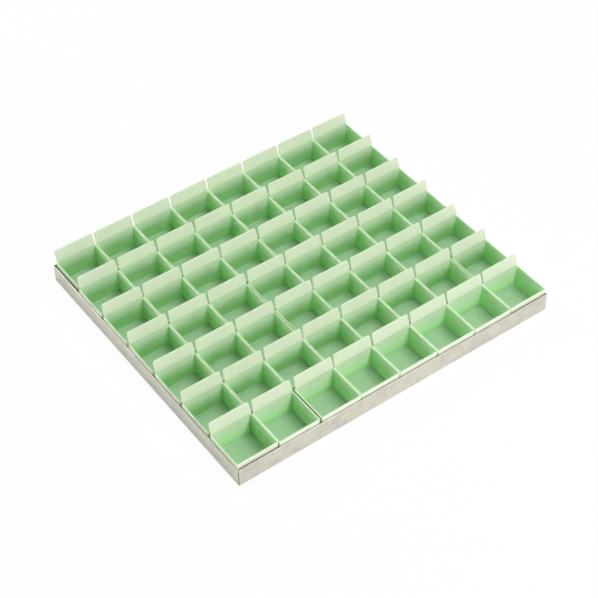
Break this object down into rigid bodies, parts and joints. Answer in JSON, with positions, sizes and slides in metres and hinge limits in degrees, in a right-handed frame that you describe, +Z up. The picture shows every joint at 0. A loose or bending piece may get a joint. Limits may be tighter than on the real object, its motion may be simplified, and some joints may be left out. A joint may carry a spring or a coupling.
{
  "type": "medication dispensing tray",
  "caption": "Shallow open sheet-steel tray filled with rows of loose open-topped plastic dose boxes, each with a label plate leaning back from its rear wall, for sorting medication.",
  "frame": {"origin": "centre of the tray's underside", "axes": "+X along a row of boxes from left to right, +Y from the front row towards the back row, +Z up"},
  "size_m": [0.4608, 0.4118, 0.0503],
  "materials": {
    "steel_sheet": "fine brushed, uncoated",
    "mint_plastic": "satin moulded, slightly translucent"
  },
  "bodies": {
    "tray": {"tray_pan": "steel_sheet"},
    "dose_box_r1_c1": {"dose_box_r1_c1": "mint_plastic"},
    "dose_box_r1_c2": {"dose_box_r1_c2": "mint_plastic"},
    "dose_box_r1_c3": {"dose_box_r1_c3": "mint_plastic"},
    "dose_box_r1_c4": {"dose_box_r1_c4": "mint_plastic"},
    "dose_box_r1_c5": {"dose_box_r1_c5": "mint_plastic"},
    "dose_box_r1_c6": {"dose_box_r1_c6": "mint_plastic"},
    "dose_box_r1_c7": {"dose_box_r1_c7": "mint_plastic"},
    "dose_box_r1_c8": {"dose_box_r1_c8": "mint_plastic"},
    "dose_box_r2_c1": {"dose_box_r2_c1": "mint_plastic"},
    "dose_box_r2_c2": {"dose_box_r2_c2": "mint_plastic"},
    "dose_box_r2_c3": {"dose_box_r2_c3": "mint_plastic"},
    "dose_box_r2_c4": {"dose_box_r2_c4": "mint_plastic"},
    "dose_box_r2_c5": {"dose_box_r2_c5": "mint_plastic"},
    "dose_box_r2_c6": {"dose_box_r2_c6": "mint_plastic"},
    "dose_box_r2_c7": {"dose_box_r2_c7": "mint_plastic"},
    "dose_box_r2_c8": {"dose_box_r2_c8": "mint_plastic"},
    "dose_box_r3_c1": {"dose_box_r3_c1": "mint_plastic"},
    "dose_box_r3_c2": {"dose_box_r3_c2": "mint_plastic"},
    "dose_box_r3_c3": {"dose_box_r3_c3": "mint_plastic"},
    "dose_box_r3_c4": {"dose_box_r3_c4": "mint_plastic"},
    "dose_box_r3_c5": {"dose_box_r3_c5": "mint_plastic"},
    "dose_box_r3_c6": {"dose_box_r3_c6": "mint_plastic"},
    "dose_box_r3_c7": {"dose_box_r3_c7": "mint_plastic"},
    "dose_box_r3_c8": {"dose_box_r3_c8": "mint_plastic"},
    "dose_box_r4_c1": {"dose_box_r4_c1": "mint_plastic"},
    "dose_box_r4_c2": {"dose_box_r4_c2": "mint_plastic"},
    "dose_box_r4_c3": {"dose_box_r4_c3": "mint_plastic"},
    "dose_box_r4_c4": {"dose_box_r4_c4": "mint_plastic"},
    "dose_box_r4_c5": {"dose_box_r4_c5": "mint_plastic"},
    "dose_box_r4_c6": {"dose_box_r4_c6": "mint_plastic"},
    "dose_box_r4_c7": {"dose_box_r4_c7": "mint_plastic"},
    "dose_box_r4_c8": {"dose_box_r4_c8": "mint_plastic"},
    "dose_box_r5_c1": {"dose_box_r5_c1": "mint_plastic"},
    "dose_box_r5_c2": {"dose_box_r5_c2": "mint_plastic"},
    "dose_box_r5_c3": {"dose_box_r5_c3": "mint_plastic"},
    "dose_box_r5_c4": {"dose_box_r5_c4": "mint_plastic"},
    "dose_box_r5_c5": {"dose_box_r5_c5": "mint_plastic"},
    "dose_box_r5_c6": {"dose_box_r5_c6": "mint_plastic"},
    "dose_box_r5_c7": {"dose_box_r5_c7": "mint_plastic"},
    "dose_box_r5_c8": {"dose_box_r5_c8": "mint_plastic"},
    "dose_box_r6_c1": {"dose_box_r6_c1": "mint_plastic"},
    "dose_box_r6_c2": {"dose_box_r6_c2": "mint_plastic"},
    "dose_box_r6_c3": {"dose_box_r6_c3": "mint_plastic"},
    "dose_box_r6_c4": {"dose_box_r6_c4": "mint_plastic"},
    "dose_box_r6_c5": {"dose_box_r6_c5": "mint_plastic"},
    "dose_box_r6_c6": {"dose_box_r6_c6": "mint_plastic"},
    "dose_box_r6_c7": {"dose_box_r6_c7": "mint_plastic"},
    "dose_box_r6_c8": {"dose_box_r6_c8": "mint_plastic"},
    "dose_box_r7_c1": {"dose_box_r7_c1": "mint_plastic"},
    "dose_box_r7_c2": {"dose_box_r7_c2": "mint_plastic"},
    "dose_box_r7_c3": {"dose_box_r7_c3": "mint_plastic"},
    "dose_box_r7_c4": {"dose_box_r7_c4": "mint_plastic"},
    "dose_box_r7_c5": {"dose_box_r7_c5": "mint_plastic"},
    "dose_box_r7_c6": {"dose_box_r7_c6": "mint_plastic"},
    "dose_box_r7_c7": {"dose_box_r7_c7": "mint_plastic"},
    "dose_box_r7_c8": {"dose_box_r7_c8": "mint_plastic"}
  },
  "joints": [
    {"name": "lift_r1_c1", "type": "slide", "parent": "tray", "child": "dose_box_r1_c1", "axis": [0, 0, 1], "range_m": [0, 0.055]},
    {"name": "lift_r1_c2", "type": "slide", "parent": "tray", "child": "dose_box_r1_c2", "axis": [0, 0, 1], "range_m": [0, 0.055]},
    {"name": "lift_r1_c3", "type": "slide", "parent": "tray", "child": "dose_box_r1_c3", "axis": [0, 0, 1], "range_m": [0, 0.055]},
    {"name": "lift_r1_c4", "type": "slide", "parent": "tray", "child": "dose_box_r1_c4", "axis": [0, 0, 1], "range_m": [0, 0.055]},
    {"name": "lift_r1_c5", "type": "slide", "parent": "tray", "child": "dose_box_r1_c5", "axis": [0, 0, 1], "range_m": [0, 0.055]},
    {"name": "lift_r1_c6", "type": "slide", "parent": "tray", "child": "dose_box_r1_c6", "axis": [0, 0, 1], "range_m": [0, 0.055]},
    {"name": "lift_r1_c7", "type": "slide", "parent": "tray", "child": "dose_box_r1_c7", "axis": [0, 0, 1], "range_m": [0, 0.055]},
    {"name": "lift_r1_c8", "type": "slide", "parent": "tray", "child": "dose_box_r1_c8", "axis": [0, 0, 1], "range_m": [0, 0.055]},
    {"name": "lift_r2_c1", "type": "slide", "parent": "tray", "child": "dose_box_r2_c1", "axis": [0, 0, 1], "range_m": [0, 0.055]},
    {"name": "lift_r2_c2", "type": "slide", "parent": "tray", "child": "dose_box_r2_c2", "axis": [0, 0, 1], "range_m": [0, 0.055]},
    {"name": "lift_r2_c3", "type": "slide", "parent": "tray", "child": "dose_box_r2_c3", "axis": [0, 0, 1], "range_m": [0, 0.055]},
    {"name": "lift_r2_c4", "type": "slide", "parent": "tray", "child": "dose_box_r2_c4", "axis": [0, 0, 1], "range_m": [0, 0.055]},
    {"name": "lift_r2_c5", "type": "slide", "parent": "tray", "child": "dose_box_r2_c5", "axis": [0, 0, 1], "range_m": [0, 0.055]},
    {"name": "lift_r2_c6", "type": "slide", "parent": "tray", "child": "dose_box_r2_c6", "axis": [0, 0, 1], "range_m": [0, 0.055]},
    {"name": "lift_r2_c7", "type": "slide", "parent": "tray", "child": "dose_box_r2_c7", "axis": [0, 0, 1], "range_m": [0, 0.055]},
    {"name": "lift_r2_c8", "type": "slide", "parent": "tray", "child": "dose_box_r2_c8", "axis": [0, 0, 1], "range_m": [0, 0.055]},
    {"name": "lift_r3_c1", "type": "slide", "parent": "tray", "child": "dose_box_r3_c1", "axis": [0, 0, 1], "range_m": [0, 0.055]},
    {"name": "lift_r3_c2", "type": "slide", "parent": "tray", "child": "dose_box_r3_c2", "axis": [0, 0, 1], "range_m": [0, 0.055]},
    {"name": "lift_r3_c3", "type": "slide", "parent": "tray", "child": "dose_box_r3_c3", "axis": [0, 0, 1], "range_m": [0, 0.055]},
    {"name": "lift_r3_c4", "type": "slide", "parent": "tray", "child": "dose_box_r3_c4", "axis": [0, 0, 1], "range_m": [0, 0.055]},
    {"name": "lift_r3_c5", "type": "slide", "parent": "tray", "child": "dose_box_r3_c5", "axis": [0, 0, 1], "range_m": [0, 0.055]},
    {"name": "lift_r3_c6", "type": "slide", "parent": "tray", "child": "dose_box_r3_c6", "axis": [0, 0, 1], "range_m": [0, 0.055]},
    {"name": "lift_r3_c7", "type": "slide", "parent": "tray", "child": "dose_box_r3_c7", "axis": [0, 0, 1], "range_m": [0, 0.055]},
    {"name": "lift_r3_c8", "type": "slide", "parent": "tray", "child": "dose_box_r3_c8", "axis": [0, 0, 1], "range_m": [0, 0.055]},
    {"name": "lift_r4_c1", "type": "slide", "parent": "tray", "child": "dose_box_r4_c1", "axis": [0, 0, 1], "range_m": [0, 0.055]},
    {"name": "lift_r4_c2", "type": "slide", "parent": "tray", "child": "dose_box_r4_c2", "axis": [0, 0, 1], "range_m": [0, 0.055]},
    {"name": "lift_r4_c3", "type": "slide", "parent": "tray", "child": "dose_box_r4_c3", "axis": [0, 0, 1], "range_m": [0, 0.055]},
    {"name": "lift_r4_c4", "type": "slide", "parent": "tray", "child": "dose_box_r4_c4", "axis": [0, 0, 1], "range_m": [0, 0.055]},
    {"name": "lift_r4_c5", "type": "slide", "parent": "tray", "child": "dose_box_r4_c5", "axis": [0, 0, 1], "range_m": [0, 0.055]},
    {"name": "lift_r4_c6", "type": "slide", "parent": "tray", "child": "dose_box_r4_c6", "axis": [0, 0, 1], "range_m": [0, 0.055]},
    {"name": "lift_r4_c7", "type": "slide", "parent": "tray", "child": "dose_box_r4_c7", "axis": [0, 0, 1], "range_m": [0, 0.055]},
    {"name": "lift_r4_c8", "type": "slide", "parent": "tray", "child": "dose_box_r4_c8", "axis": [0, 0, 1], "range_m": [0, 0.055]},
    {"name": "lift_r5_c1", "type": "slide", "parent": "tray", "child": "dose_box_r5_c1", "axis": [0, 0, 1], "range_m": [0, 0.055]},
    {"name": "lift_r5_c2", "type": "slide", "parent": "tray", "child": "dose_box_r5_c2", "axis": [0, 0, 1], "range_m": [0, 0.055]},
    {"name": "lift_r5_c3", "type": "slide", "parent": "tray", "child": "dose_box_r5_c3", "axis": [0, 0, 1], "range_m": [0, 0.055]},
    {"name": "lift_r5_c4", "type": "slide", "parent": "tray", "child": "dose_box_r5_c4", "axis": [0, 0, 1], "range_m": [0, 0.055]},
    {"name": "lift_r5_c5", "type": "slide", "parent": "tray", "child": "dose_box_r5_c5", "axis": [0, 0, 1], "range_m": [0, 0.055]},
    {"name": "lift_r5_c6", "type": "slide", "parent": "tray", "child": "dose_box_r5_c6", "axis": [0, 0, 1], "range_m": [0, 0.055]},
    {"name": "lift_r5_c7", "type": "slide", "parent": "tray", "child": "dose_box_r5_c7", "axis": [0, 0, 1], "range_m": [0, 0.055]},
    {"name": "lift_r5_c8", "type": "slide", "parent": "tray", "child": "dose_box_r5_c8", "axis": [0, 0, 1], "range_m": [0, 0.055]},
    {"name": "lift_r6_c1", "type": "slide", "parent": "tray", "child": "dose_box_r6_c1", "axis": [0, 0, 1], "range_m": [0, 0.055]},
    {"name": "lift_r6_c2", "type": "slide", "parent": "tray", "child": "dose_box_r6_c2", "axis": [0, 0, 1], "range_m": [0, 0.055]},
    {"name": "lift_r6_c3", "type": "slide", "parent": "tray", "child": "dose_box_r6_c3", "axis": [0, 0, 1], "range_m": [0, 0.055]},
    {"name": "lift_r6_c4", "type": "slide", "parent": "tray", "child": "dose_box_r6_c4", "axis": [0, 0, 1], "range_m": [0, 0.055]},
    {"name": "lift_r6_c5", "type": "slide", "parent": "tray", "child": "dose_box_r6_c5", "axis": [0, 0, 1], "range_m": [0, 0.055]},
    {"name": "lift_r6_c6", "type": "slide", "parent": "tray", "child": "dose_box_r6_c6", "axis": [0, 0, 1], "range_m": [0, 0.055]},
    {"name": "lift_r6_c7", "type": "slide", "parent": "tray", "child": "dose_box_r6_c7", "axis": [0, 0, 1], "range_m": [0, 0.055]},
    {"name": "lift_r6_c8", "type": "slide", "parent": "tray", "child": "dose_box_r6_c8", "axis": [0, 0, 1], "range_m": [0, 0.055]},
    {"name": "lift_r7_c1", "type": "slide", "parent": "tray", "child": "dose_box_r7_c1", "axis": [0, 0, 1], "range_m": [0, 0.055]},
    {"name": "lift_r7_c2", "type": "slide", "parent": "tray", "child": "dose_box_r7_c2", "axis": [0, 0, 1], "range_m": [0, 0.055]},
    {"name": "lift_r7_c3", "type": "slide", "parent": "tray", "child": "dose_box_r7_c3", "axis": [0, 0, 1], "range_m": [0, 0.055]},
    {"name": "lift_r7_c4", "type": "slide", "parent": "tray", "child": "dose_box_r7_c4", "axis": [0, 0, 1], "range_m": [0, 0.055]},
    {"name": "lift_r7_c5", "type": "slide", "parent": "tray", "child": "dose_box_r7_c5", "axis": [0, 0, 1], "range_m": [0, 0.055]},
    {"name": "lift_r7_c6", "type": "slide", "parent": "tray", "child": "dose_box_r7_c6", "axis": [0, 0, 1], "range_m": [0, 0.055]},
    {"name": "lift_r7_c7", "type": "slide", "parent": "tray", "child": "dose_box_r7_c7", "axis": [0, 0, 1], "range_m": [0, 0.055]},
    {"name": "lift_r7_c8", "type": "slide", "parent": "tray", "child": "dose_box_r7_c8", "axis": [0, 0, 1], "range_m": [0, 0.055]}
  ]
}
